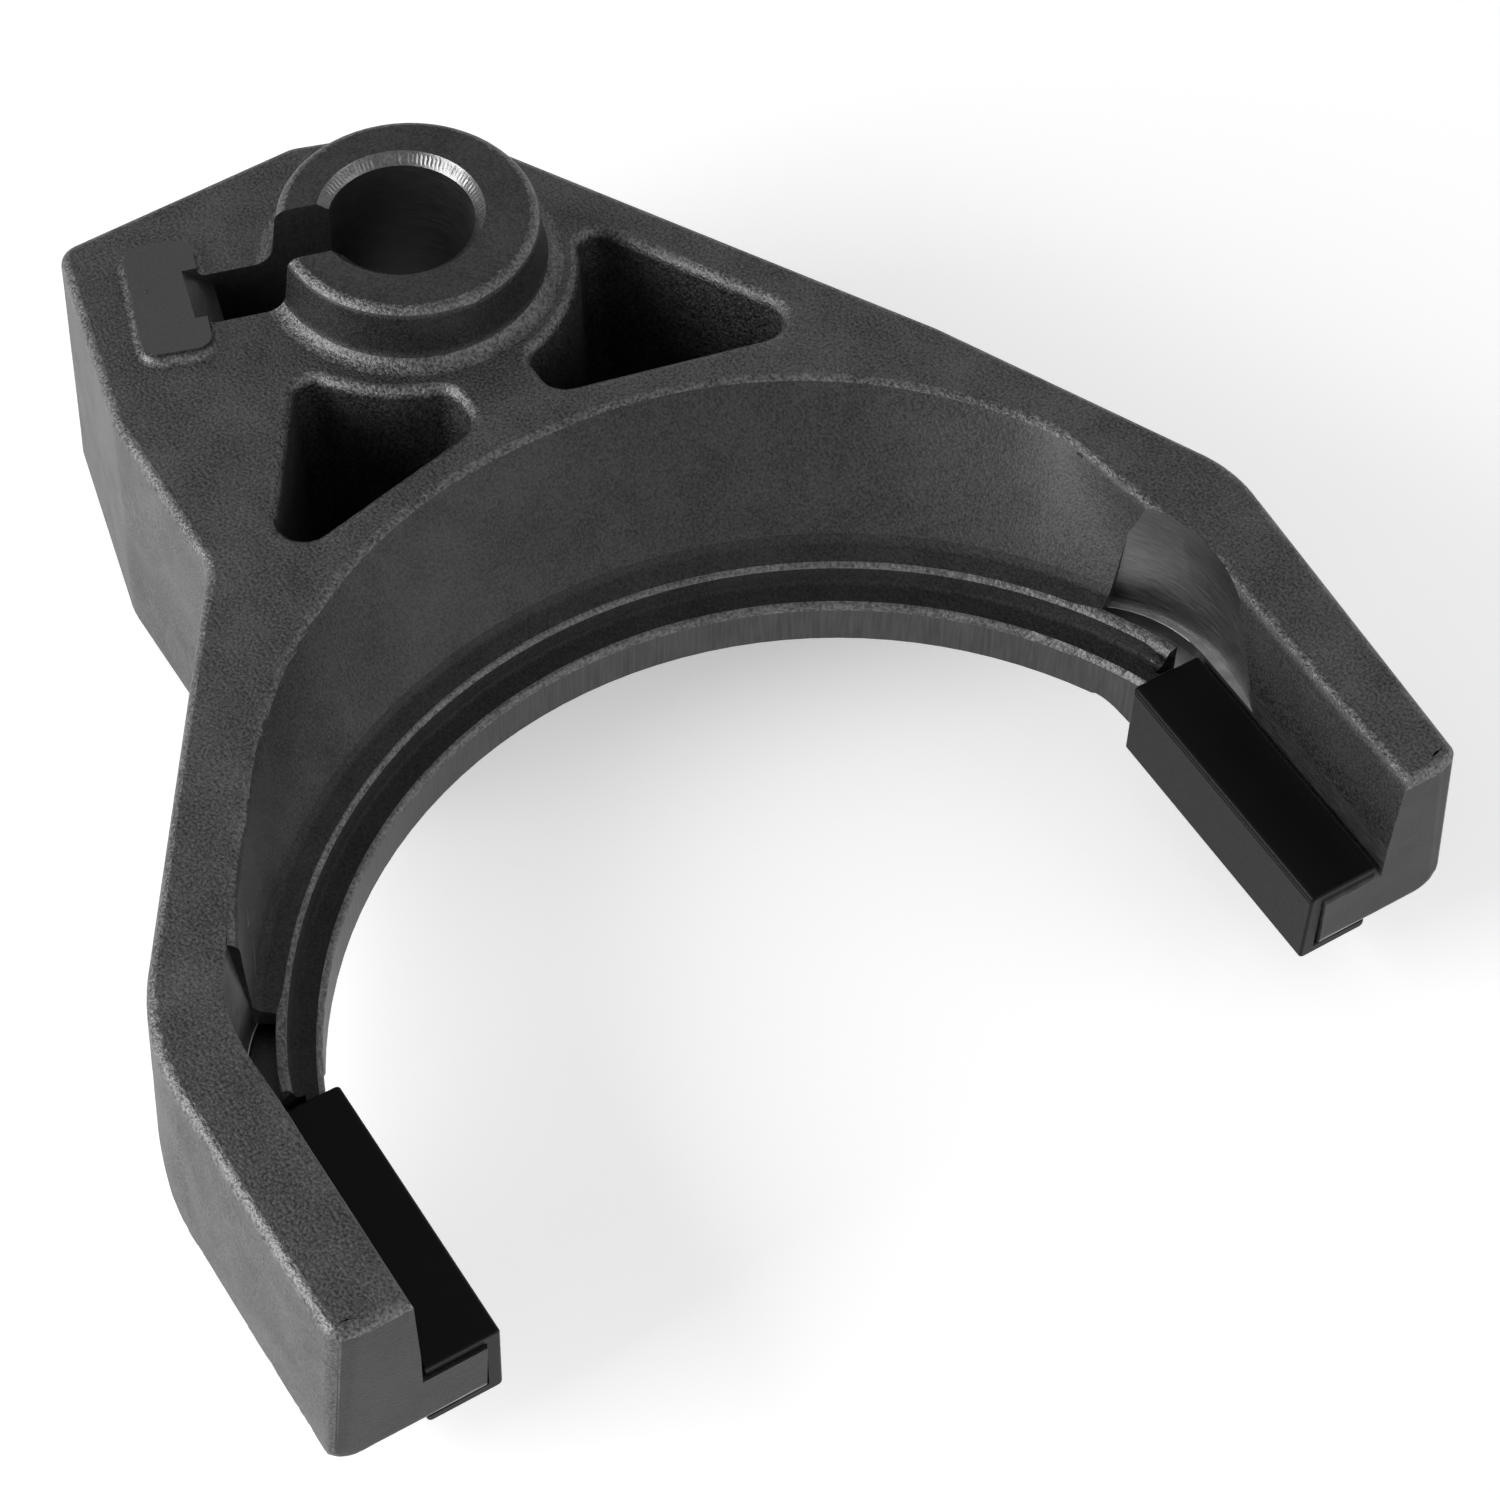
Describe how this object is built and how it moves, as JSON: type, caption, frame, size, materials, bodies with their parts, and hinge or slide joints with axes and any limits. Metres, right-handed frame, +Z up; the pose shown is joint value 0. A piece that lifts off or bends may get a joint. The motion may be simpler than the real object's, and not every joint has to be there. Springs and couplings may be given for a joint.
{
  "type": "transmission shift fork",
  "caption": "Cast iron gearbox shift fork: a bored hub with a keyed slot, a wide crescent between two arms, and black clip-on wear pads on the tips.",
  "frame": {"origin": "on the rail bore's axis, in the plane of the block's underside", "axes": "+Z up along the rail bore towards the raised hub, +X from the bore along the arms to the tips, +Y to the right arm"},
  "size_m": [0.211, 0.208, 0.0637],
  "materials": {
    "casting": "blasted casting skin, with milled and bored faces brighter and smoother",
    "pad": "moulded black plastic with a slight sheen"
  },
  "bodies": {
    "root": {"fork_body": "casting", "wear_pad_left": "pad", "wear_pad_right": "pad"}
  },
  "joints": []
}
